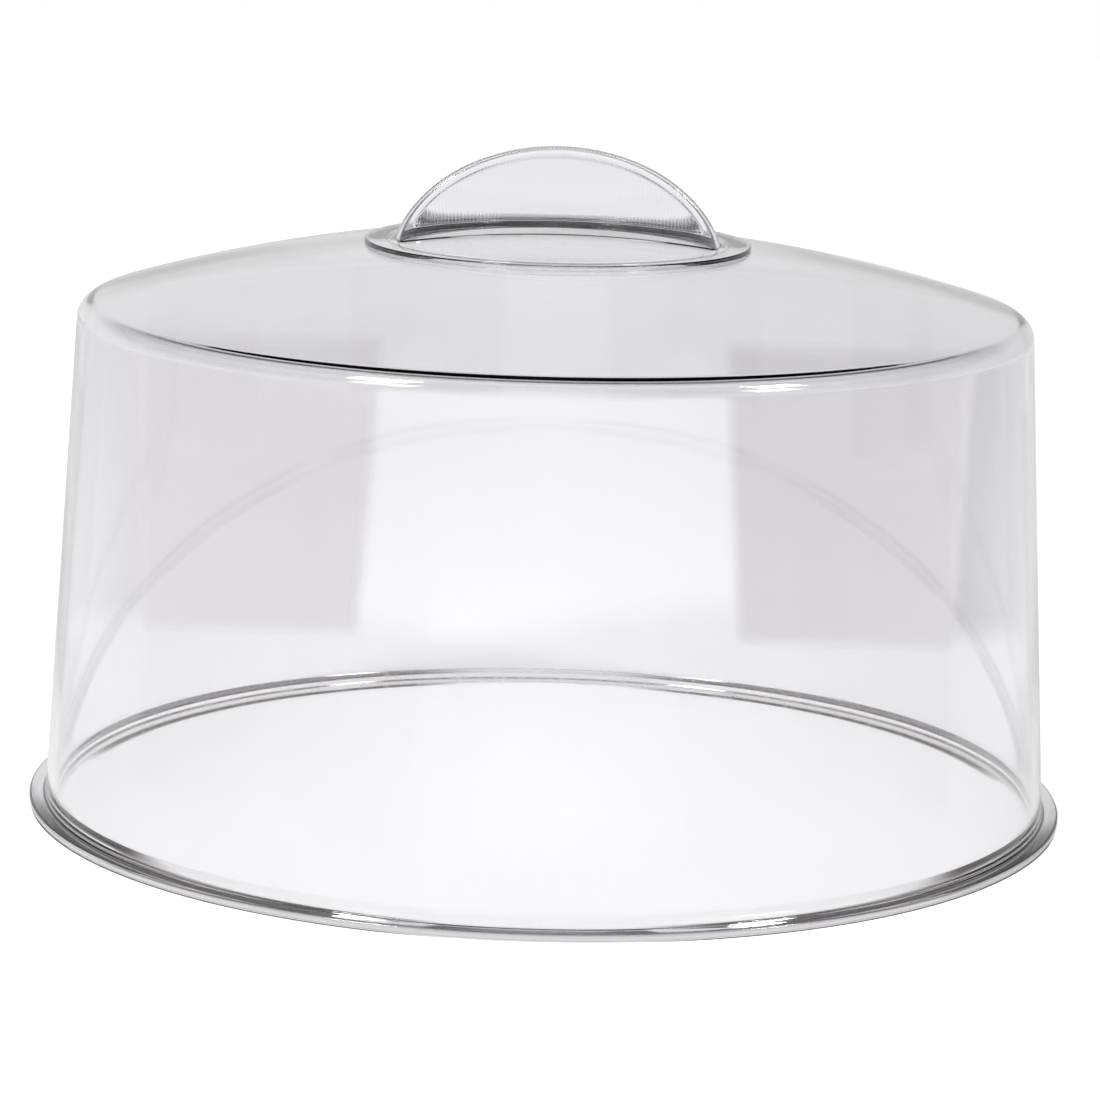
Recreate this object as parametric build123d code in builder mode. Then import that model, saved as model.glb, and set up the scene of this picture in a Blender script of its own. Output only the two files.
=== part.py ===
"""Clear cake cover: a drafted drum with a domed crown, and a half-moon lift handle bonded into it.

All sizes are in millimetres. The origin is the centre of the mouth, on the surface that the rim
rests on. +Z is up, and the handle's fin runs along X.
"""
from build123d import *
import os
from math import cos, radians, sqrt, tan

# Rim: the flat flange round the mouth, and the thick foot inside it
mouth_diameter = 305.0
rim_width = 4.9
rim_thickness = 2.4
rim_edge_radius = 0.8
rim_root_radius = 1.0
foot_thickness = 4.6
foot_height = 6.0

# Wall: a drum that narrows upwards, so that it leaves its mould and nests in another cover
wall_thickness = 3.0
wall_draft = 3.6
shoulder_height = 155.8
shoulder_radius = 6.3
inner_shoulder_radius = 3.3

# Crown: a shallow spherical dome with a round hole for the handle's plug
crown_dome_radius = 485.0
crown_thickness = 3.0

# Handle plate: a plug in the crown's hole, with a ring that laps over the crown around it
ring_inner_diameter = 100.0
plug_wall = 3.0
ring_lap = 6.7
plug_clearance = 0.1
bond_gap = 0.05
ring_thickness = 1.55
ring_edge_radius = 0.5
floor_recess = 1.9
floor_rise = 3.7
plate_thickness = 2.2

# Fin: the half-moon grip, the upper part of an ellipse that stands across the plate
fin_height = 29.0
fin_overhang = 2.4
fin_ellipse_sink = 11.6
fin_thickness = 6.4
fin_edge_radius = 1.8

# Grip: fine upright ribs on both faces of the fin, inside a smooth border
grip_border = 3.0
grip_gap_middle = 4.6
grip_gap_end = 2.4
rib_pitch = 1.1
rib_depth = 0.3

mouth_radius = mouth_diameter / 2
rim_radius = mouth_radius + foot_thickness + rim_width
ring_inner_radius = ring_inner_diameter / 2
plug_radius = ring_inner_radius + plug_wall
hole_radius = plug_radius + plug_clearance
ring_outer_radius = plug_radius + ring_lap
fin_half_width = ring_inner_radius + fin_overhang
draft_tan = tan(radians(wall_draft))
wall_step = wall_thickness / cos(radians(wall_draft))


def wall_radius(height, inset=0.0):
    """Radius of the drum's outer face at a height, or of a face that lies inset from it."""
    return mouth_radius + foot_thickness - height * draft_tan - inset


def sag(radius, dome_radius):
    """Drop of a spherical dome below its apex at a radius."""
    return dome_radius - sqrt(dome_radius**2 - radius**2)


def dome_arc(inner, outer, height_at):
    """Arc of a dome's profile between two radii, from the function that gives its height."""
    middle = (inner + outer) / 2
    return ThreePointArc(*[(radius, height_at(radius)) for radius in (inner, middle, outer)])


def corners_at(sketch, *points):
    """Corners of a sketch that lie at these points."""
    return [v for v in sketch.vertices() if min(v.distance_to(Vector(*p)) for p in points) < 0.001]


shoulder_outer_radius = wall_radius(shoulder_height)
crown_apex = shoulder_height + sag(shoulder_outer_radius, crown_dome_radius)
crown_centre = crown_apex - crown_dome_radius
crown_inner_dome_radius = crown_dome_radius - crown_thickness


def crown_top(radius):
    """Height of the crown's outer face at a radius."""
    return crown_apex - sag(radius, crown_dome_radius)


def crown_bottom(radius):
    """Height of the crown's inner face at a radius."""
    return crown_apex - crown_thickness - sag(radius, crown_inner_dome_radius)


def inner_corner():
    """Radius and height where the inner faces of the wall and the crown meet."""
    foot = wall_radius(0, wall_step)
    slope = 1 + draft_tan**2
    half = foot * draft_tan + crown_centre
    rest = foot**2 + crown_centre**2 - crown_inner_dome_radius**2
    height = (half + sqrt(half**2 - slope * rest)) / slope
    return wall_radius(height, wall_step), height


# Cover shell: the whole clear drum, turned from one half profile
shoulder_outer = (shoulder_outer_radius, shoulder_height)
shoulder_inner = inner_corner()
rim_root = (wall_radius(rim_thickness), rim_thickness)
rim_corners = [(rim_radius, 0), (rim_radius, rim_thickness)]
foot_top = (wall_radius(foot_height, wall_step), foot_height)

with BuildPart() as cover_shell:
    with BuildSketch(Plane.XZ) as shell_profile:
        with BuildLine():
            Polyline((mouth_radius, 0), *rim_corners, rim_root, shoulder_outer)
            dome_arc(shoulder_outer_radius, hole_radius, crown_top)
            Line((hole_radius, crown_top(hole_radius)), (hole_radius, crown_bottom(hole_radius)))
            dome_arc(hole_radius, shoulder_inner[0], crown_bottom)
            Polyline(shoulder_inner, foot_top, (mouth_radius, 0))
        make_face()
        fillet(corners_at(shell_profile, shoulder_outer), shoulder_radius)
        fillet(corners_at(shell_profile, shoulder_inner), inner_shoulder_radius)
        fillet(corners_at(shell_profile, rim_root), rim_root_radius)
        fillet(corners_at(shell_profile, *rim_corners), rim_edge_radius)
    revolve(axis=Axis.Z)

# Handle: the plate with its ring and plug, and the fin that stands on it, moulded as one piece
ring_top = crown_top(ring_outer_radius) + ring_thickness
floor_edge = ring_top - floor_recess
floor_apex = floor_edge + floor_rise
floor_dome_radius = (ring_inner_radius**2 + floor_rise**2) / (2 * floor_rise)
ring_corners = [(ring_inner_radius, ring_top), (ring_outer_radius, ring_top)]


def floor_top(radius):
    """Height of the plate's domed floor at a radius."""
    return floor_apex - sag(radius, floor_dome_radius)


def floor_bottom(radius):
    """Height of the plate's underside at a radius."""
    return floor_top(radius) - plate_thickness


def ring_seat(radius):
    """Height of the ring's underside, which follows the crown."""
    return crown_top(radius) + bond_gap


# The fin's outline is the part of an ellipse above the middle of the plate's thickness
fin_top = ring_top + fin_height
ellipse_centre = ring_top - fin_ellipse_sink
ellipse_half_height = fin_top - ellipse_centre
fin_root_middle = floor_apex - plate_thickness / 2
fin_root_end = floor_edge - plate_thickness / 2

# The ribbed panel is the same ellipse less the border, above a shallow arc over the floor
grip_half_width = fin_half_width - grip_border
grip_half_height = ellipse_half_height - grip_border
grip_low_middle = floor_apex + grip_gap_middle
grip_low_end = ring_top + grip_gap_end
rib_count = int(2 * grip_half_width / rib_pitch)
fin_half_thickness = fin_thickness / 2


def above_arc(end_height, middle_height):
    """Region of the fin's plane above an arc that passes over the ring's inner edge."""
    left = (-ring_inner_radius, end_height)
    right = (ring_inner_radius, end_height)
    with BuildSketch(mode=Mode.PRIVATE) as region:
        with BuildLine():
            ThreePointArc(left, (0, middle_height), right)
            Polyline(right, (ring_outer_radius, end_height), (ring_outer_radius, fin_top))
            Polyline((ring_outer_radius, fin_top), (-ring_outer_radius, fin_top))
            Polyline((-ring_outer_radius, fin_top), (-ring_outer_radius, end_height), left)
        make_face()
    return region.sketch


# Rib grooves of the front face, as one comb that is as wide and tall as the panel
comb_left = -rib_count * rib_pitch / 2
with BuildPart() as grip_grooves:
    with BuildSketch(Plane.XY.offset(ring_top)):
        with BuildLine():
            teeth = [(comb_left, -fin_half_thickness)]
            for rib in range(rib_count):
                teeth.append((comb_left + (rib + 0.5) * rib_pitch, -fin_half_thickness + rib_depth))
                teeth.append((comb_left + (rib + 1) * rib_pitch, -fin_half_thickness))
            teeth.append((-comb_left, -fin_thickness))
            teeth.append((comb_left, -fin_thickness))
            Polyline(*teeth, close=True)
        make_face()
    extrude(amount=fin_height)
    with BuildSketch(Plane.XZ):
        with Locations((0, ellipse_centre)):
            Ellipse(grip_half_width, grip_half_height)
        add(above_arc(grip_low_end, grip_low_middle), mode=Mode.INTERSECT)
    extrude(amount=fin_thickness, mode=Mode.INTERSECT)

with BuildPart() as handle:
    with BuildSketch(Plane.XZ):
        with Locations((0, ellipse_centre)):
            Ellipse(fin_half_width, ellipse_half_height)
        add(above_arc(fin_root_end, fin_root_middle), mode=Mode.INTERSECT)
    extrude(amount=fin_half_thickness, both=True)
    fillet(handle.edges().filter_by(GeomType.ELLIPSE), fin_edge_radius)
    add(grip_grooves.part, mode=Mode.SUBTRACT)
    add(mirror(grip_grooves.part, about=Plane.XZ, mode=Mode.PRIVATE), mode=Mode.SUBTRACT)
    with BuildSketch(Plane.XZ) as plate_profile:
        with BuildLine():
            dome_arc(0, ring_inner_radius, floor_top)
            Line((ring_inner_radius, floor_edge), ring_corners[0])
            Line(*ring_corners)
            Line(ring_corners[1], (ring_outer_radius, ring_seat(ring_outer_radius)))
            dome_arc(ring_outer_radius, plug_radius, ring_seat)
            Line((plug_radius, ring_seat(plug_radius)), (plug_radius, floor_bottom(plug_radius)))
            dome_arc(plug_radius, 0, floor_bottom)
            Line((0, floor_bottom(0)), (0, floor_apex))
        make_face()
        fillet(corners_at(plate_profile, *ring_corners), ring_edge_radius)
    revolve(axis=Axis.Z)

os.makedirs("parts", exist_ok=True)
cover_shell.part.label = "cover_shell"
export_step(cover_shell.part, "parts/cover_shell.step")
handle.part.label = "handle"
export_step(handle.part, "parts/handle.step")

print("cover height", round(fin_top, 2), "rim diameter", 2 * rim_radius)
print("crown apex", round(crown_apex, 2), "ring top", round(ring_top, 2), "ribs a side", rib_count)
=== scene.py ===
# %% [markdown]
# # A clear cake cover
# This lesson dresses a food cover of clear rigid plastic: a drum with a domed crown, and a half-moon
# handle bonded into it. A clear object has almost no colour of its own. What the eye reads is how it
# bends and mirrors its surroundings, so most of the work is smooth, true surfaces and a plain studio.
# The packed solids give the places and sizes, and the shell and the handle are made again here with
# many more faces, because refraction shows every flat facet of a coarse mesh.

# %% Load the solids
from math import atan2, cos, pi, radians, sin, sqrt, tan

import bmesh
import bpy
from mathutils import Matrix, Vector


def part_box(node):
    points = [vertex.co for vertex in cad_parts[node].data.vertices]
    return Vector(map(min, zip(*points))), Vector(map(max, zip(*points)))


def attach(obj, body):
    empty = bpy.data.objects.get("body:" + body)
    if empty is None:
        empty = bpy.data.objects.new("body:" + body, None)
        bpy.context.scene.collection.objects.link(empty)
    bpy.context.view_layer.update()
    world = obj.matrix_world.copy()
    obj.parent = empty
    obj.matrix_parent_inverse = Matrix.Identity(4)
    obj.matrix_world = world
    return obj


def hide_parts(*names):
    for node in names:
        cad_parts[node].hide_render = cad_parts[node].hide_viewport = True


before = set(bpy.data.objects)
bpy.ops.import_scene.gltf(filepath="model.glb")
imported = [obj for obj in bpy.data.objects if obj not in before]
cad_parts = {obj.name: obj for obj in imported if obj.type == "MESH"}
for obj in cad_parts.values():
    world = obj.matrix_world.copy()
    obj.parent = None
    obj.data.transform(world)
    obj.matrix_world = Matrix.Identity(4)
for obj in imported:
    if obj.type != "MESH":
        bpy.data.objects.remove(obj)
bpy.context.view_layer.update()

# %% [markdown]
# ## Sizes
# Everything is in metres. The sizes could be measured off the solids, but named values are easier to
# read and to change. They are the solids' own sizes, apart from three things that only the look needs:
# the rounding inside the shoulder is a little wider than the solid's 3.3 mm, corners that the solids
# leave sharp get small roundings, and the grip on the fin is shallower. The top of the fin is measured
# against the solid's, and the difference is printed.

# %% Name the shell's sizes
MM = 0.001
MOUTH_RADIUS = 152.5 * MM
FOOT_THICKNESS = 4.6 * MM
FOOT_HEIGHT = 6.0 * MM
RIM_RADIUS = 162.0 * MM
RIM_THICKNESS = 2.4 * MM
WALL_THICKNESS = 3.0 * MM
WALL_DRAFT = radians(3.6)
SHOULDER_HEIGHT = 155.8 * MM
SHOULDER_RADIUS = 6.3 * MM
INNER_SHOULDER_RADIUS = 4.2 * MM
DOME_RADIUS = 485.0 * MM
CROWN_THICKNESS = 3.0 * MM


# %% Work out the crown
def sag(radius, dome):
    """Drop of a dome below its apex at a radius."""
    return dome - sqrt(dome**2 - radius**2)


def wall_radius(height, inset=0.0):
    """Radius of the wall's outer face at a height, less an inset."""
    return MOUTH_RADIUS + FOOT_THICKNESS - height * tan(WALL_DRAFT) - inset


CROWN_APEX = SHOULDER_HEIGHT + sag(wall_radius(SHOULDER_HEIGHT), DOME_RADIUS)
DOME_CENTRE = CROWN_APEX - DOME_RADIUS
print("crown apex", round(CROWN_APEX / MM, 2), "mm up")

# %% [markdown]
# ## Turned shapes
# The shell and the handle's plate are both turned: one closed half profile, swept round the Z axis. A
# screw modifier could sweep it too, but a mesh written here is closed on the axis from the start. A
# profile is a list of (radius, height) points. A corner is rounded by putting a small arc in its place
# that is tangent to both sides. Many steps round the axis keep the outline free of visible corners.


# %% Round the corners of a profile
def spread(start, end, count):
    """Values from start to end, both included."""
    return [start + (end - start) * i / (count - 1) for i in range(count)]


def round_corner(before, corner, after, radius, count=7):
    """Points of the arc that rounds one corner between two straight sides."""
    here = Vector(corner)
    back = (Vector(before) - here).normalized()
    ahead = (Vector(after) - here).normalized()
    half = back.angle(ahead) / 2
    bisector = (back + ahead).normalized()
    centre = here + bisector * (radius / sin(half))
    first = here + back * (radius / tan(half)) - centre
    last = here + ahead * (radius / tan(half)) - centre
    turn_angle = first.angle_signed(last)
    points = []
    for angle in spread(0.0, -turn_angle, count):
        arm = Matrix.Rotation(angle, 2) @ first
        points.append(tuple(centre + arm))
    return points


def rounded(corners):
    """A closed outline from (radius, height, corner rounding) entries. No rounding keeps the point."""
    outline = []
    for i, (x, z, rounding) in enumerate(corners):
        if rounding:
            before, after = corners[i - 1][:2], corners[(i + 1) % len(corners)][:2]
            outline += round_corner(before, (x, z), after, rounding)
        else:
            outline.append((x, z))
    return outline


print("a three-cornered outline with one round corner has",
      len(rounded([(0, 0, 0), (1, 0, 0), (1, 1, 0.2)])), "points")


# %% Make objects from points and faces
def add_object(name, data):
    """A new object in the scene, round a mesh, a lamp or a camera."""
    made = bpy.data.objects.new(name, data)
    bpy.context.scene.collection.objects.link(made)
    return made


def add_shape(name, shape):
    """A new object from a shape under construction, which is freed."""
    mesh = bpy.data.meshes.new(name)
    shape.to_mesh(mesh)
    shape.free()
    return add_object(name, mesh)


def circle(radius, height, steps):
    """Points of a level circle round the axis."""
    angles = [2 * pi * i / steps for i in range(steps)]
    return [(radius * cos(a), radius * sin(a), height) for a in angles]


print("a circle of 4 steps", [[round(v, 2) for v in point] for point in circle(1, 0, 4)])

# %% Turn a profile round the axis
TURN_STEPS = 384
ON_AXIS = 1e-7


def turn(name, outline, steps=TURN_STEPS):
    """A closed mesh made by sweeping an outline round Z. Points on the axis become one vertex."""
    shape = bmesh.new()
    rings = []
    for radius, height in outline:
        if radius < ON_AXIS:
            rings.append([shape.verts.new((0, 0, height))] * steps)
        else:
            rings.append([shape.verts.new(point) for point in circle(radius, height, steps)])
    for ring, after in zip(rings, rings[1:] + rings[:1]):
        for i in range(steps):
            k = (i + 1) % steps
            corners = []
            for vertex in (ring[i], ring[k], after[k], after[i]):
                if vertex not in corners:
                    corners.append(vertex)
            if len(corners) > 2:
                shape.faces.new(corners)
    bmesh.ops.recalc_face_normals(shape, faces=shape.faces)
    return add_shape(name, shape)


print("widest facet", round(2 * pi * RIM_RADIUS / TURN_STEPS / MM, 2), "mm")

# %% Smooth and check a mesh
SHARP_ANGLE = radians(38)


def smooth(piece):
    """Smooth shading, but with hard edges where faces meet at more than the sharp angle."""
    piece.data.polygons.foreach_set("use_smooth", [True] * len(piece.data.polygons))
    piece.data.set_sharp_from_angle(angle=SHARP_ANGLE)


def open_edges(piece):
    """How many edges don't have exactly two faces. A closed mesh has none."""
    shape = bmesh.new()
    shape.from_mesh(piece.data)
    count = sum(1 for edge in shape.edges if len(edge.link_faces) != 2)
    shape.free()
    return count


print("faces stay smooth up to", round(SHARP_ANGLE, 3), "radians")

# %% [markdown]
# ## The shell
# The real shell is moulded in one shot, so its faces flow into each other with small roundings. A
# bevel could round the shoulder, but it lies between a straight wall and a sphere, and its bend is
# what draws the line round the top of a clear drum. So its arc is worked out: its centre lies one
# rounding inside both faces, which is where a straight line crosses a circle.


# %% Round the shoulder between wall and dome
def shoulder(inset, dome, rounding, count=12):
    """Points of the arc that is tangent to the wall's line and to a dome."""
    normal = Vector((cos(WALL_DRAFT), sin(WALL_DRAFT)))
    along = Vector((-sin(WALL_DRAFT), cos(WALL_DRAFT)))
    foot = Vector((wall_radius(0) - inset, 0.0)) - normal * rounding
    reach = foot - Vector((0.0, DOME_CENTRE))
    b = along.dot(reach)
    c = reach.dot(reach) - (dome - rounding) ** 2
    centre = foot + along * (-b + sqrt(b * b - c))
    up = centre - Vector((0.0, DOME_CENTRE))
    angles = spread(WALL_DRAFT, atan2(up.y, up.x), count)
    return [(centre[0] + rounding * cos(a), centre[1] + rounding * sin(a)) for a in angles]


wall_inset = WALL_THICKNESS / cos(WALL_DRAFT)
inner_dome = DOME_RADIUS - CROWN_THICKNESS
outer_shoulder = shoulder(0.0, DOME_RADIUS, SHOULDER_RADIUS)
inner_shoulder = shoulder(wall_inset, inner_dome, INNER_SHOULDER_RADIUS)
print("shoulder starts", round(outer_shoulder[0][1] / MM, 1), "mm up")

# %% Draw the wall and the crown
WALL_POINTS = 24
OUTER_WALL_START = 4 * MM
INNER_WALL_START = 9 * MM
WALL_GAP = 0.5 * MM
DOME_GAP = 0.4 * MM
PLUG_RADIUS = 53.0 * MM
PLUG_CLEARANCE = 0.1 * MM


def dome_points(inner, outer, dome, count=30):
    """Points of a dome's profile between two radii."""
    return [(r, DOME_CENTRE + sqrt(dome**2 - r**2)) for r in spread(inner, outer, count)]


outer_heights = spread(OUTER_WALL_START, outer_shoulder[0][1] - WALL_GAP, WALL_POINTS)
outer_wall = [(wall_radius(z), z) for z in outer_heights]
inner_heights = spread(INNER_WALL_START, inner_shoulder[0][1] - WALL_GAP, WALL_POINTS)
inner_wall = [(wall_radius(z, wall_inset), z) for z in inner_heights]
hole_radius = PLUG_RADIUS + PLUG_CLEARANCE
top_side = dome_points(outer_shoulder[-1][0] - DOME_GAP, hole_radius, DOME_RADIUS)
under_side = dome_points(hole_radius, inner_shoulder[-1][0] - DOME_GAP, inner_dome)
print("crown's hole", round(2 * hole_radius / MM, 1), "mm wide")

# %% Make the shell
FOOT_ROUNDING = 2.0 * MM
MOUTH_ROUNDING = 0.5 * MM
RIM_ROUNDING = 0.8 * MM
RIM_ROOT_ROUNDING = 1.0 * MM
rim = rounded([
    (*inner_wall[0], 0),
    (wall_radius(FOOT_HEIGHT, wall_inset), FOOT_HEIGHT, FOOT_ROUNDING),
    (MOUTH_RADIUS, 0, MOUTH_ROUNDING),
    (RIM_RADIUS, 0, RIM_ROUNDING),
    (RIM_RADIUS, RIM_THICKNESS, RIM_ROUNDING),
    (wall_radius(RIM_THICKNESS), RIM_THICKNESS, RIM_ROOT_ROUNDING),
    (*outer_wall[0], 0),
])
shell_outline = (rim + outer_wall[1:] + outer_shoulder + top_side + under_side
                 + inner_shoulder[::-1] + inner_wall[:0:-1])
shell = turn("clear_shell", shell_outline)
smooth(shell)
print("shell faces", len(shell.data.polygons), "profile points", len(shell_outline),
      "open edges", open_edges(shell))

# %% [markdown]
# ## The handle's plate
# The handle is one moulding: a domed floor inside a raised ring, and a half-moon fin across it. The
# plate is turned like the shell. Its ring laps over the crown with a hair's gap for the bond, and its
# plug stands in the crown's hole. The gaps are real ones in the mesh, because a ray of light can't
# tell two clear faces apart where they touch, and leaves specks there.

# %% Name the plate's sizes
RING_INNER_RADIUS = 50.0 * MM
RING_OUTER_RADIUS = 59.7 * MM
RING_THICKNESS = 1.55 * MM
BOND_GAP = 0.05 * MM
FLOOR_RECESS = 1.9 * MM
FLOOR_RISE = 3.7 * MM
PLATE_THICKNESS = 2.2 * MM
RING_TOP = CROWN_APEX - sag(RING_OUTER_RADIUS, DOME_RADIUS) + RING_THICKNESS
FLOOR_APEX = RING_TOP - FLOOR_RECESS + FLOOR_RISE
FLOOR_DOME = (RING_INNER_RADIUS**2 + FLOOR_RISE**2) / (2 * FLOOR_RISE)


def floor_height(radius):
    """Height of the handle's domed floor at a radius."""
    return FLOOR_APEX - sag(radius, FLOOR_DOME)


print("ring top", round(RING_TOP / MM, 2), "mm up, floor apex", round(FLOOR_APEX / MM, 2))

# %% Make the plate
PLATE_GAP = 0.6 * MM
FLOOR_ROUNDING = 0.4 * MM
RING_ROUNDING = 0.5 * MM
LAP_ROUNDING = 0.2 * MM
PLUG_ROUNDING = 0.3 * MM
lap = dome_points(RING_OUTER_RADIUS, PLUG_RADIUS, DOME_RADIUS, count=4)
seat = [(r, z + BOND_GAP) for r, z in lap]
floor_points = [(r, floor_height(r)) for r in spread(0.0, RING_INNER_RADIUS - PLATE_GAP, count=24)]
below = spread(PLUG_RADIUS - PLATE_GAP, 0.0, count=20)
underside = [(r, floor_height(r) - PLATE_THICKNESS) for r in below]
ring = rounded([
    (*floor_points[-1], 0),
    (RING_INNER_RADIUS, floor_height(RING_INNER_RADIUS), FLOOR_ROUNDING),
    (RING_INNER_RADIUS, RING_TOP, RING_ROUNDING),
    (RING_OUTER_RADIUS, RING_TOP, RING_ROUNDING),
    (*seat[0], LAP_ROUNDING),
    (*seat[1], 0),
    (*seat[2], 0),
    (*seat[3], PLUG_ROUNDING),
    (PLUG_RADIUS, floor_height(PLUG_RADIUS) - PLATE_THICKNESS, PLUG_ROUNDING),
    (*underside[0], 0),
])
plate = turn("handle_plate", floor_points + ring[1:] + underside[1:])
print("plate faces", len(plate.data.polygons), "open edges", open_edges(plate))

# %% [markdown]
# ## The fin and its grip
# The fin is the part that a hand lifts: a low half-moon, with a rounded edge and a grip of
# fine upright ribs on both faces. It could be an outline that is extruded and bevelled, but then the
# ribs would have no rows to sit on. So it is a grid: a column of points goes up the front, over the
# edge and down the back, and columns follow each other along the arch. The grip is a panel that sinks
# from its foot towards the arch. Its ribs are real waves in the mesh, because their ends draw the
# dotted line at the foot of the grip, and they fade upwards, as the ribs can hardly be seen there.

# %% Name the fin's sizes
FIN_HEIGHT = 29.0 * MM
FIN_HALF_WIDTH = 52.4 * MM
FIN_SINK = 11.6 * MM
FIN_HALF_THICKNESS = 3.2 * MM
FIN_EDGE_RADIUS = 1.8 * MM
GRIP_BORDER = 3.0 * MM
GRIP_GAP_MIDDLE = 4.6 * MM
GRIP_GAP_END = 2.4 * MM
FIN_TOP = RING_TOP + FIN_HEIGHT
FIN_CENTRE = RING_TOP - FIN_SINK
FIN_HALF_HEIGHT = FIN_TOP - FIN_CENTRE
print("fin off the solid by", round((FIN_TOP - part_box("handle")[1][2]) * 1e6), "um")


# %% Follow the arch and the grip's foot
def edge_frame(angle):
    """A point of the fin's arched edge and its outward direction, in the plane of the fin."""
    point = Vector((FIN_HALF_WIDTH * cos(angle), FIN_CENTRE + FIN_HALF_HEIGHT * sin(angle)))
    outward = Vector((cos(angle) / FIN_HALF_WIDTH, sin(angle) / FIN_HALF_HEIGHT)).normalized()
    return point, outward


def angle_over(x):
    """The edge's angle whose point, moved in by the grip's border, lies over x."""
    low, high = 0.0, pi
    for _ in range(40):
        middle = (low + high) / 2
        point, outward = edge_frame(middle)
        if (point - outward * GRIP_BORDER).x > x:
            low = middle
        else:
            high = middle
    return (low + high) / 2


def grip_foot(x):
    """Height of the grip's lower edge: a shallow arc over the floor."""
    low_end = RING_TOP + GRIP_GAP_END
    rise = FLOOR_APEX + GRIP_GAP_MIDDLE - low_end
    bend = (RING_INNER_RADIUS**2 + rise**2) / (2 * rise)
    return low_end + rise - sag(abs(x), bend)


print("grip's foot", round((grip_foot(0.0) - FLOOR_APEX) / MM, 2), "mm over the floor's middle")

# %% Shape the face of the fin
RIB_PITCH = 1.1 * MM
RIB_DEPTH = 0.16 * MM
RIB_FADE = 0.7
GRIP_SINK_FOOT = 0.08 * MM
GRIP_SINK_ARCH = 0.45 * MM
GRIP_SLOPE = 0.6 * MM
GRIP_STEP = 0.1 * MM
GRIP_ROWS = 8
LEAST_GRIP = 1.5 * GRIP_SLOPE
PLAIN_FOOT_SHARE = 0.6
PLAIN_GAP_SHARE = 0.1


def face_points(x, root, border):
    """Points (x, y, z) up the front face, from the root to the top of the grip, if it has room."""
    foot = grip_foot(x)
    ribbed = foot < border - LEAST_GRIP
    if not ribbed:
        foot = root + (border - root) * PLAIN_FOOT_SHARE
    wave = RIB_DEPTH * (0.5 - 0.5 * cos(2 * pi * x / RIB_PITCH)) if ribbed else 0.0
    face = -FIN_HALF_THICKNESS
    foot_gap = GRIP_STEP if ribbed else (border - foot) * PLAIN_GAP_SHARE
    arch_gap = GRIP_SLOPE if ribbed else foot_gap
    points = [(x, face, root), (x, face, (root + foot) / 2), (x, face, foot - foot_gap)]
    for i, z in enumerate(spread(foot, border - arch_gap, GRIP_ROWS)):
        up = i / (GRIP_ROWS - 1)
        sink = GRIP_SINK_FOOT + (GRIP_SINK_ARCH - GRIP_SINK_FOOT) * up if ribbed else 0.0
        points.append((x, face + sink + wave * (1 - RIB_FADE * up), z))
    return points


print("ribs", round(RIB_PITCH / MM, 2), "mm apart and", round(RIB_DEPTH / MM, 2), "mm deep at the foot")

# %% Shape one whole column
ROOT_BELOW_FLOOR = 1.1 * MM
ROOT_BELOW_BORDER = 0.4 * MM
EDGE_LEAD = 0.1 * MM
EDGE_POINTS = 9


def edge_points(point, outward):
    """Points from the grip's border over the rounded edge to the middle of the fin."""
    face = -FIN_HALF_THICKNESS
    points = []
    for inset in (GRIP_BORDER, (GRIP_BORDER + FIN_EDGE_RADIUS) / 2, FIN_EDGE_RADIUS + EDGE_LEAD):
        spot = point - outward * inset
        points.append((spot.x, face, spot.y))
    for bend in spread(0.0, pi / 2, EDGE_POINTS):
        spot = point - outward * FIN_EDGE_RADIUS * (1 - sin(bend))
        points.append((spot.x, face + FIN_EDGE_RADIUS * (1 - cos(bend)), spot.y))
    points.append((point.x, 0.0, point.y))
    return points


def column_points(x):
    """Points of the fin's front half over x. The root lies inside the plate, so that they can join."""
    point, outward = edge_frame(angle_over(x))
    border = (point - outward * GRIP_BORDER).y
    floor_root = floor_height(min(abs(x), RING_INNER_RADIUS)) - ROOT_BELOW_FLOOR
    root = min(floor_root, border - ROOT_BELOW_BORDER)
    return face_points(x, root, border) + edge_points(point, outward)


print("points in a column", len(column_points(0.0)))

# %% Make the fin
RIB_STEPS = 6
FIN_REACH = 48.4 * MM
half_columns = round(FIN_REACH / RIB_PITCH * RIB_STEPS)
columns = [i * RIB_PITCH / RIB_STEPS for i in range(-half_columns, half_columns + 1)]


def make_fin():
    """The closed fin. Rows of four-sided faces close its ends, as one big face would leave gaps."""
    shape = bmesh.new()
    grid = []
    for x in columns:
        front = column_points(x)
        loop = front + [(px, -py, pz) for px, py, pz in front[-2::-1]]
        grid.append([shape.verts.new(p) for p in loop])
    for left, right in zip(grid, grid[1:]):
        for i in range(len(left)):
            k = (i + 1) % len(left)
            shape.faces.new((left[i], right[i], right[k], left[k]))
    for column in (grid[0], grid[-1]):
        middle = len(column) // 2
        for i in range(middle - 1):
            shape.faces.new((column[i], column[i + 1], column[-i - 2], column[-i - 1]))
        shape.faces.new(column[middle - 1:middle + 2])
    bmesh.ops.recalc_face_normals(shape, faces=shape.faces)
    return add_shape("handle_fin", shape)


fin = make_fin()
print("fin columns", len(columns), "faces", len(fin.data.polygons), "open edges", open_edges(fin))


# %% Join the fin and the plate
def join_solids(name, base, tool):
    """One closed mesh of two solids that run into each other, with nothing left inside."""
    union = base.modifiers.new("union", "BOOLEAN")
    union.operation = "UNION"
    union.solver = "EXACT"
    union.object = tool
    settled = base.evaluated_get(bpy.context.evaluated_depsgraph_get())
    mesh = bpy.data.meshes.new_from_object(settled)
    mesh.name = name
    for old in (base, tool):
        bpy.data.objects.remove(old)
    return add_object(name, mesh)


handle = join_solids("clear_handle", plate, fin)
smooth(handle)
print("handle faces", len(handle.data.polygons), "open edges", open_edges(handle))
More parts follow.
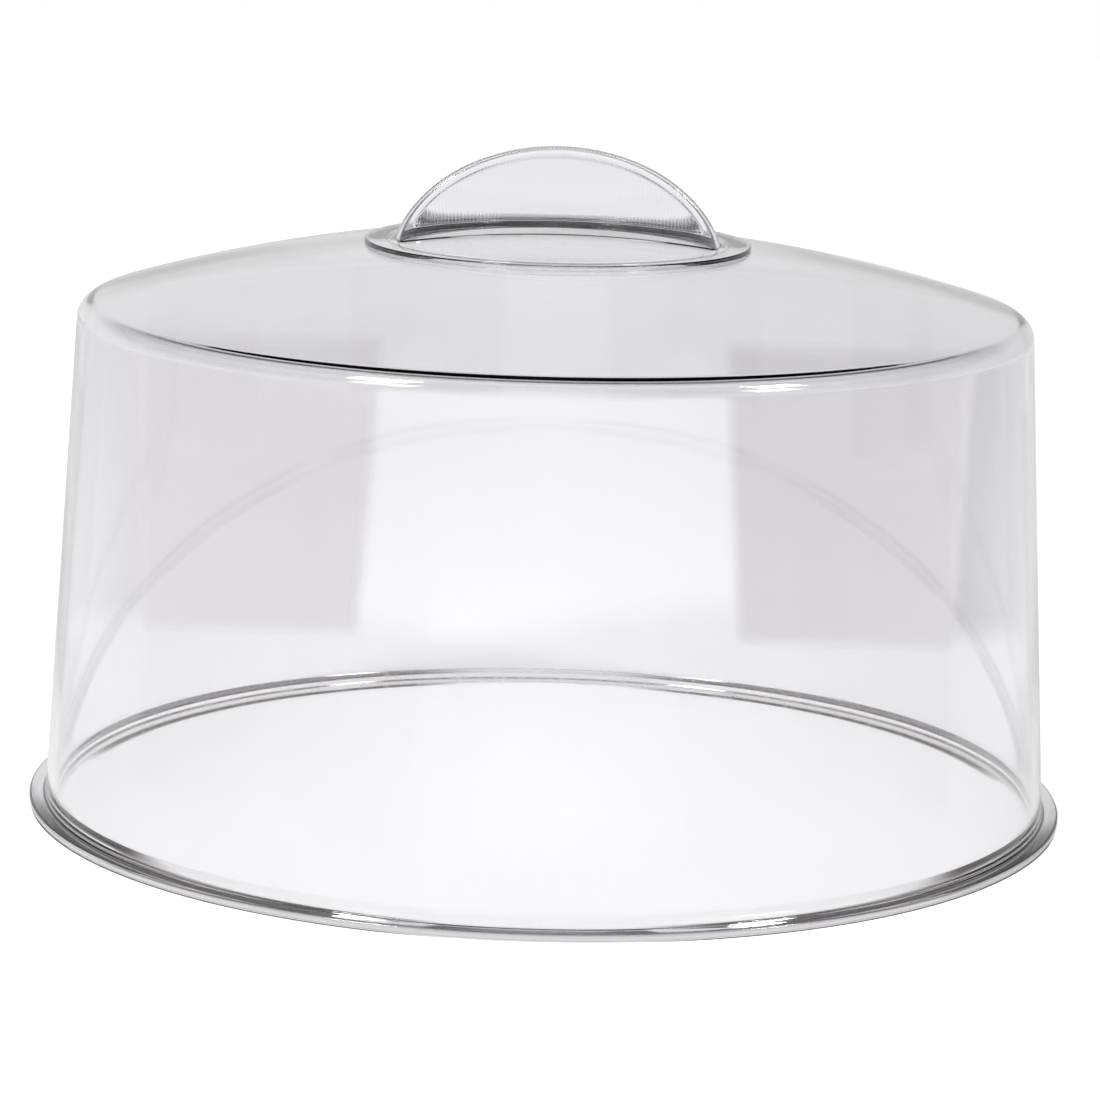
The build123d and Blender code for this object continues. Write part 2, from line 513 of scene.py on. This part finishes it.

# %% [markdown]
# ## Tie the pieces to the solids
# Each dressed piece takes the place of its solid, which is hidden, and rides on the one body.

# %% Replace the solids
for piece, node, finish in ((shell, "cover_shell", "clear_shell"), (handle, "handle", "clear_handle")):
    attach(piece, "root")
    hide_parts(node)

# %% [markdown]
# ## Shader sums in plain Python
# A node tree could be laid out by hand in the shader editor, but it is easier to read as sums. The
# small class below wraps one socket, and its operators add the Math nodes. Any other node comes from
# one method, which takes the node's settings first.


# %% Wrap a shader socket
class Wire:
    """A value or colour in one node tree, with arithmetic."""

    def __init__(self, tree, socket):
        self.tree = tree
        self.socket = socket

    def node(self, kind, settings=None, output=0, **inputs):
        """A new node: its type, its settings, then its inputs by name with _ for a space, or i0, i1."""
        made = self.tree.nodes.new(kind)
        for key, value in (settings or {}).items():
            setattr(made, key, value)
        for key, value in inputs.items():
            target = made.inputs[int(key[1:]) if key[1:].isdigit() else key.replace("_", " ")]
            if isinstance(value, Wire):
                self.tree.links.new(value.socket, target)
            else:
                target.default_value = value
        return Wire(self.tree, made.outputs[output])

    def math(self, operation, other=0.0):
        """One Math node with this value and another."""
        return self.node("ShaderNodeMath", {"operation": operation}, i0=self, i1=other)

    def smoothstep(self, low, high):
        """0 up to low, 1 from high on, and a smooth rise between."""
        return self.node("ShaderNodeMapRange", {"interpolation_type": "SMOOTHSTEP"}, Value=self,
                         From_Min=low, From_Max=high, To_Min=0.0, To_Max=1.0)

    def axis(self, number):
        """One part of a vector: 0 for x, 1 for y, 2 for z."""
        return self.node("ShaderNodeSeparateXYZ", output=number, Vector=self)

    def length(self):
        """The length of a vector."""
        return self.node("ShaderNodeVectorMath", {"operation": "LENGTH"}, output=1, i0=self)

    def __add__(self, other):
        return self.math("ADD", other)

    def __sub__(self, other):
        return self.math("SUBTRACT", other)

    def __mul__(self, other):
        return self.math("MULTIPLY", other)

    def __rsub__(self, other):
        return self.node("ShaderNodeMath", {"operation": "SUBTRACT"}, i0=other, i1=self)

    __radd__ = __add__
    __rmul__ = __mul__


print("a wire can do", [name for name, made in vars(Wire).items() if callable(made)])


# %% Start and end a tree
def fresh_tree(owner):
    """A wire into the emptied node tree of a material or world."""
    owner.use_nodes = True
    owner.node_tree.nodes.clear()
    return Wire(owner.node_tree, None)


def show(shader, kind="ShaderNodeOutputMaterial"):
    """Lead a shader to the surface of its material or world."""
    out = shader.tree.nodes.new(kind)
    shader.tree.links.new(shader.socket, out.inputs["Surface"])


def object_place(start):
    """The place of the shaded point, in the object's own metres."""
    return start.node("ShaderNodeTexCoord", output=3)


print("materials before the plastics", len(bpy.data.materials))

# %% [markdown]
# ## Clear plastic
# The plastic is clear and glossy, and a touch grey where the light crosses much of it. A glass shader
# with an absorbing volume could show this, but the principled shader with full transmission does it
# with no volume, and keeps the finish in one place. Its optical density is set on the shader's own
# sockets. Three things vary over the surface: a very faint unevenness of tint, fine wiping marks that
# dull the gloss here and there, and the slow waviness of a moulded face, which is a bump far too small
# to feel.

# %% Make the clear plastics
OPTICAL_DENSITY = 1.57
CLOUD_SCALE = 18.0
MARK_SCALE = 260.0
MARKS_START = 0.5
MARKS_FULL = 0.75
GLOSSY = 0.012
WIPED = 0.07
WAVE_SCALE = 9.0
WAVE_HEIGHT = 0.002


def clear_plastic(name, pale, grey, waviness):
    """A clear moulded plastic between two tints."""
    material = bpy.data.materials.new(name)
    start = fresh_tree(material)
    place = object_place(start)
    clouds = start.node("ShaderNodeTexNoise", Vector=place, Scale=CLOUD_SCALE, Detail=3.0)
    tint = start.node("ShaderNodeMix", {"data_type": "RGBA"}, output=2, i0=clouds, i6=pale, i7=grey)
    marks = start.node("ShaderNodeTexNoise", Vector=place, Scale=MARK_SCALE, Detail=5.0, Roughness=0.7)
    dulling = start.node("ShaderNodeMapRange", Value=marks, From_Min=MARKS_START, From_Max=MARKS_FULL,
                         To_Min=GLOSSY, To_Max=WIPED)
    waves = start.node("ShaderNodeTexNoise", Vector=place, Scale=WAVE_SCALE, Detail=1.0)
    bump = start.node("ShaderNodeBump", Height=waves, Strength=waviness, Distance=WAVE_HEIGHT)
    show(start.node("ShaderNodeBsdfPrincipled", Base_Color=tint, Roughness=dulling, Normal=bump,
                    IOR=OPTICAL_DENSITY, Transmission_Weight=1.0))
    return material


shell_plastic = clear_plastic("clear_shell_plastic", pale=(0.965, 0.96, 0.97, 1),
                              grey=(0.945, 0.938, 0.95, 1), waviness=0.15)
handle_plastic = clear_plastic("clear_handle_plastic", pale=(0.96, 0.955, 0.965, 1),
                               grey=(0.93, 0.92, 0.935, 1), waviness=0.1)
shell.data.materials.append(shell_plastic)
handle.data.materials.clear()
handle.data.materials.append(handle_plastic)
print("finishes", [m.name for m in bpy.data.materials])

# %% [markdown]
# ## The camera
# A catalogue picture of such a cover is taken with a long lens from a little above the crown, so that
# the mouth and the shoulder both show as ellipses. The camera stands still at that place, turned
# down and rolled by a degree and a half. It could aim at an empty, but plain angles are easier to
# check.

# %% Set the camera
CAMERA_DISTANCE = 1.2702
CAMERA_HEIGHT = 0.3375
CAMERA_PITCH = radians(11.51)
CAMERA_ROLL = radians(1.455)
LENS = 135.33
camera_data = bpy.data.cameras.new("camera")
camera_data.lens = LENS
camera_data.sensor_width = 36.0
camera = add_object("camera", camera_data)
tilt = Matrix.Rotation(pi / 2 - CAMERA_PITCH, 4, "X") @ Matrix.Rotation(CAMERA_ROLL, 4, "Z")
camera.matrix_world = Matrix.Translation((0.0, -CAMERA_DISTANCE, CAMERA_HEIGHT)) @ tilt
bpy.context.scene.camera = camera
print("camera", [round(v, 3) for v in camera.location], "lens", LENS)

# %% [markdown]
# ## The floor
# The cover stands on a white floor that runs out of the picture with no edge. A sweep of paper does
# this in a studio. A lit disc is simpler here, but its brightness is then a free choice, so it is
# chosen by the way it is looked at: white for the camera, and a little less where it is seen off the
# gloss or through the plastic, brighter inside the mouth and falling off to the sides. It lies a tenth
# of a millimetre under the rim, so that the two faces don't touch.


# %% Tell how a surface is looked at
def ray_kinds(start):
    """Two values: 1 for what the camera sees straight, and 1 for what gloss or plastic shows."""
    path = start.tree.nodes.new("ShaderNodeLightPath")
    names = ("Is Camera Ray", "Is Glossy Ray", "Is Transmission Ray")
    camera_ray, glossy, through = [Wire(start.tree, path.outputs[n]) for n in names]
    return camera_ray, glossy.math("MAXIMUM", through)


FLOOR_WHITE = 0.8
FLOOR_LIFT = 0.57
INSIDE_LIFT = 0.12
SIDE_FALL = 4.5
MOST_FALL = 0.1


def floor_light(start):
    """How strongly the floor glows."""
    direct, by_plastic = ray_kinds(start)
    place = object_place(start)
    inside = 1.0 - place.length().math("GREATER_THAN", MOUTH_RADIUS)
    sideways = place.axis(0)
    fall = (sideways * sideways * SIDE_FALL).math("MINIMUM", MOST_FALL)
    return direct * FLOOR_WHITE + by_plastic * (inside * INSIDE_LIFT + FLOOR_LIFT - fall)


print("floor glows by", FLOOR_WHITE, "straight and", FLOOR_LIFT, "through plastic")

# %% Lay the floor
FLOOR_RADIUS = 3.0
FLOOR_SEGMENTS = 96
FLOOR_DROP = 0.0001
FLOOR_GLOW = (0.985, 0.993, 1.0, 1)
FLOOR_MATT = (0.8, 0.8, 0.8, 1)
floor_material = bpy.data.materials.new("floor")
start = fresh_tree(floor_material)
glow = start.node("ShaderNodeEmission", Color=FLOOR_GLOW, Strength=floor_light(start))
matt = start.node("ShaderNodeBsdfDiffuse", Color=FLOOR_MATT)
show(start.node("ShaderNodeAddShader", i0=glow, i1=matt))
disc = bmesh.new()
bmesh.ops.create_circle(disc, cap_ends=True, segments=FLOOR_SEGMENTS, radius=FLOOR_RADIUS)
floor = add_shape("floor", disc)
floor.location.z = -FLOOR_DROP
floor.data.materials.append(floor_material)
print("floor", 2 * FLOOR_RADIUS, "m across,", FLOOR_DROP / MM, "mm under the rim")

# %% [markdown]
# ## The room
# What lies round a clear object draws its lines: a bright room alone would make it vanish. The world
# stands in for the room, where panels and black cloths would stand in a real studio. It is a large
# white paper low down that turns grey and then dark overhead, and is brighter on the left. For gloss
# and for light through the plastic, it is dark beyond the paper's side edges. The dark starts well
# above the horizon, because lower down it would darken the whole crown. The camera itself sees plain
# white all round.

# %% Light the studio
OVERHEAD_HEIGHT = 0.85
MIDDLE_HEIGHT = 0.45
OVERHEAD = (0.08, 0.08, 0.08, 1)
MIDDLE_SKY = (0.8, 0.8, 0.82, 1)
WHITE = (1.0, 1.0, 1.0, 1)
LEFT_SHARE = 1.05
RIGHT_SHARE = 0.6


def room_colour(start, across, height):
    """The room's colour by direction, before the dark sides."""
    sky = start.node("ShaderNodeValToRGB", Fac=height)
    ramp = sky.socket.node.color_ramp
    ramp.elements[0].position = 0.0
    ramp.elements[0].color = WHITE
    ramp.elements[1].position = OVERHEAD_HEIGHT
    ramp.elements[1].color = OVERHEAD
    ramp.elements.new(MIDDLE_HEIGHT).color = MIDDLE_SKY
    side = start.node("ShaderNodeMapRange", Value=across, From_Min=-1.0, From_Max=1.0,
                      To_Min=LEFT_SHARE, To_Max=RIGHT_SHARE)
    return start.node("ShaderNodeVectorMath", {"operation": "SCALE"}, Vector=sky, Scale=side)


print("room: left side", LEFT_SHARE, "right side", RIGHT_SHARE)

# %% Darken the sides of the room
PAPER_EDGE = 0.2
PAPER_SOFT = 0.2
DARK_START = 0.2
DARK_FULL = 0.5
DARK = (0.02, 0.018, 0.018, 1)
world = bpy.data.worlds.new("studio")
bpy.context.scene.world = world
start = fresh_tree(world)
straight, by_plastic = ray_kinds(start)
direction = start.node("ShaderNodeTexCoord", output=0)
height = direction.axis(2)
across = direction.axis(0)
level_part = (1.0 - height * height).math("SQRT")
bearing = across.math("ABSOLUTE").math("DIVIDE", level_part)
beyond = bearing.smoothstep(PAPER_EDGE, PAPER_EDGE + PAPER_SOFT)
aloft = height.smoothstep(DARK_START, DARK_FULL)
room = start.node("ShaderNodeMix", {"data_type": "RGBA"}, output=2, i0=beyond * aloft * by_plastic,
                  i6=room_colour(start, across, height), i7=DARK)
shade = start.node("ShaderNodeMix", {"data_type": "RGBA"}, output=2, i0=straight, i6=room, i7=WHITE)
show(start.node("ShaderNodeBackground", Color=shade, Strength=1.0), "ShaderNodeOutputWorld")
print("world nodes", len(world.node_tree.nodes))

# %% [markdown]
# ## The lamps
# Two softboxes stand in front of the cover, left and right. The world alone would light it, but with
# no highlights. Square area lamps give the bright marks on the shoulder and the rim that tell the eye
# that the plastic is glossy.

# %% Hang the lamps
LAMP_ELEVATION = radians(42)
LAMP_DISTANCE = 1.6


def softbox(name, azimuth, size, power):
    """A square area lamp that looks at the cover from a bearing in degrees."""
    lamp = bpy.data.lights.new(name, "AREA")
    lamp.size = size
    lamp.energy = power
    level = cos(LAMP_ELEVATION)
    turned = radians(azimuth)
    toward = Vector((sin(turned) * level, -cos(turned) * level, sin(LAMP_ELEVATION)))
    spot = toward * LAMP_DISTANCE
    holder = add_object(name, lamp)
    holder.location = spot
    holder.rotation_euler = (-spot).to_track_quat("-Z", "Y").to_euler()
    print(name, "at", [round(v, 2) for v in holder.location], "with", power, "W")


softbox("lamp_left", azimuth=-44, size=0.35, power=9.0)
softbox("lamp_right", azimuth=58, size=0.3, power=7.0)

# %% [markdown]
# ## The grey cards
# Grey cards stand behind the cover on each side, out of the camera's sight. They show only through the
# plastic, as soft grey patches in the wall, and they give the clear wall some body. Cards beside
# and behind a glass are an old studio habit. They could be painted into the world, but the patches
# need the nearness of real cards. The same set stands on all four sides, so that the cover looks
# alike from each of them.


# %% Fade a card to its border
def glow_in_part(start, share, colour):
    """Plain light of a colour where share is 1, and nothing at all where it is 0."""
    glow = start.node("ShaderNodeEmission", Color=colour, Strength=1.0)
    clear = start.node("ShaderNodeBsdfTransparent")
    return start.node("ShaderNodeMixShader", i0=share, i1=clear, i2=glow)


def edge_fade(start, soft):
    """1 inside a card and 0 at its border, from the card's own UV square."""
    grid = start.node("ShaderNodeUVMap", {"uv_map": "square"})
    fade = None
    for number in (0, 1):
        value = grid.axis(number)
        for edge in (value, 1.0 - value):
            ease = edge.smoothstep(0.0, soft)
            fade = ease if fade is None else fade * ease
    return fade


print("materials so far", [m.name for m in bpy.data.materials])

# %% Make one card
CARD_TOP = 0.119
CARD_GREEN = 0.985


def card(name, corners, grey, soft):
    """A flat grey card with soft edges, which shows only through the plastic."""
    mesh = bpy.data.meshes.new(name)
    mesh.from_pydata(corners, [], [(0, 1, 2, 3)])
    square = mesh.uv_layers.new(name="square")
    for loop, spot in zip(square.data, ((0, 0), (1, 0), (1, 1), (0, 1))):
        loop.uv = spot
    holder = add_object(name, mesh)
    material = bpy.data.materials.new(name)
    start = fresh_tree(material)
    show(glow_in_part(start, edge_fade(start, soft), (grey, grey * CARD_GREEN, grey, 1)))
    mesh.materials.append(material)
    holder.visible_camera = False
    holder.visible_diffuse = False
    holder.visible_glossy = False
    holder.visible_shadow = False


def upright(back, foot_in, foot_out, head_out, head_in):
    """Corners of a card that stands behind the cover, from the widths of its foot and its head."""
    foot = [(foot_in, back, 0), (foot_out, back, 0)]
    head = [(head_out, back, CARD_TOP), (head_in, back, CARD_TOP)]
    return foot + head


CARD_SHAPE = upright(back=0.21, foot_in=0.068, foot_out=0.159, head_out=0.168, head_in=0.0595)
WING_SHAPE = upright(back=0.22, foot_in=0.14, foot_out=0.26, head_out=0.26, head_in=0.15)
print("a card is", round(CARD_SHAPE[1][0] - CARD_SHAPE[0][0], 3), "m wide at its foot")

# %% Stand the cards
CARD_GREY = 0.74
CARD_SHIFT = 0.03
CARD_SOFT = 0.07
WING_GREY = 0.64
WING_SHIFT = 0.10
WING_SOFT = 0.12
QUARTERS = 4
for quarter in range(QUARTERS):
    turned = Matrix.Rotation(quarter * pi / 2, 4, "Z")
    for side in (-1, 1):
        for name, corners, grey, soft in (("card", CARD_SHAPE, CARD_GREY - CARD_SHIFT * side, CARD_SOFT),
                                          ("wing", WING_SHAPE, WING_GREY - WING_SHIFT * side, WING_SOFT)):
            placed = [turned @ Vector((x * side, y, z)) for x, y, z in corners]
            card(f"{name}_{quarter}_{side}", placed, grey, soft)

# %% [markdown]
# ## The painted shadow under the rim
# The rim of a clear cover reads as a dark line where its thick edge gathers the dark between itself and
# the floor. A lit floor has no such dark, so a thin ring of painted shadow on it puts it back: a dark
# glow, strongest towards the four diagonals and gone in front, behind and at the sides. It could be
# part of the floor's own shader. As a ring of its own, it is easy to switch off.

# %% Shade the floor under the rim
STRIP_STEPS = 128
STRIP_SOFT = 3 * MM
# Colour of the painted shadow under the rim: a dark glow on the floor that stands in for real shade.
RIM_SHADOW_COLOUR = (0.12, 0.10, 0.095, 1)
DIAGONAL_START = 0.3
DIAGONAL_FULL = 0.7


def strip_material(inner):
    """Painted shadow that shows on the diagonals, with a soft inner border."""
    material = bpy.data.materials.new("rim_shade")
    start = fresh_tree(material)
    place = object_place(start)
    diagonal = (place.axis(0) * place.axis(1)).math("ABSOLUTE") * (2.0 / (inner * inner))
    dark = diagonal.smoothstep(DIAGONAL_START, DIAGONAL_FULL)
    edge = place.length().smoothstep(inner, inner + STRIP_SOFT)
    show(glow_in_part(start, dark * edge, RIM_SHADOW_COLOUR))
    return material


def rim_shade(inner, outer, height):
    """A strip of painted shadow on the floor under the rim."""
    shape = bmesh.new()
    near, far = [[shape.verts.new(point) for point in circle(radius, height, STRIP_STEPS)]
                 for radius in (inner, outer)]
    for i in range(STRIP_STEPS):
        k = (i + 1) % STRIP_STEPS
        shape.faces.new((near[i], far[i], far[k], near[k]))
    holder = add_shape("rim_shade", shape)
    holder.data.materials.append(strip_material(inner))
    holder.visible_diffuse = False
    holder.visible_shadow = False
    return holder


strip = rim_shade(inner=148.5 * MM, outer=RIM_RADIUS, height=-FLOOR_DROP / 2)
print("strip faces", len(strip.data.polygons))

# %% [markdown]
# ## Finish
# A white studio is judged by its whites, so colours go to the screen as they are, with no film look.

# %% Set the view and finish
bpy.context.scene.view_settings.view_transform = "Standard"
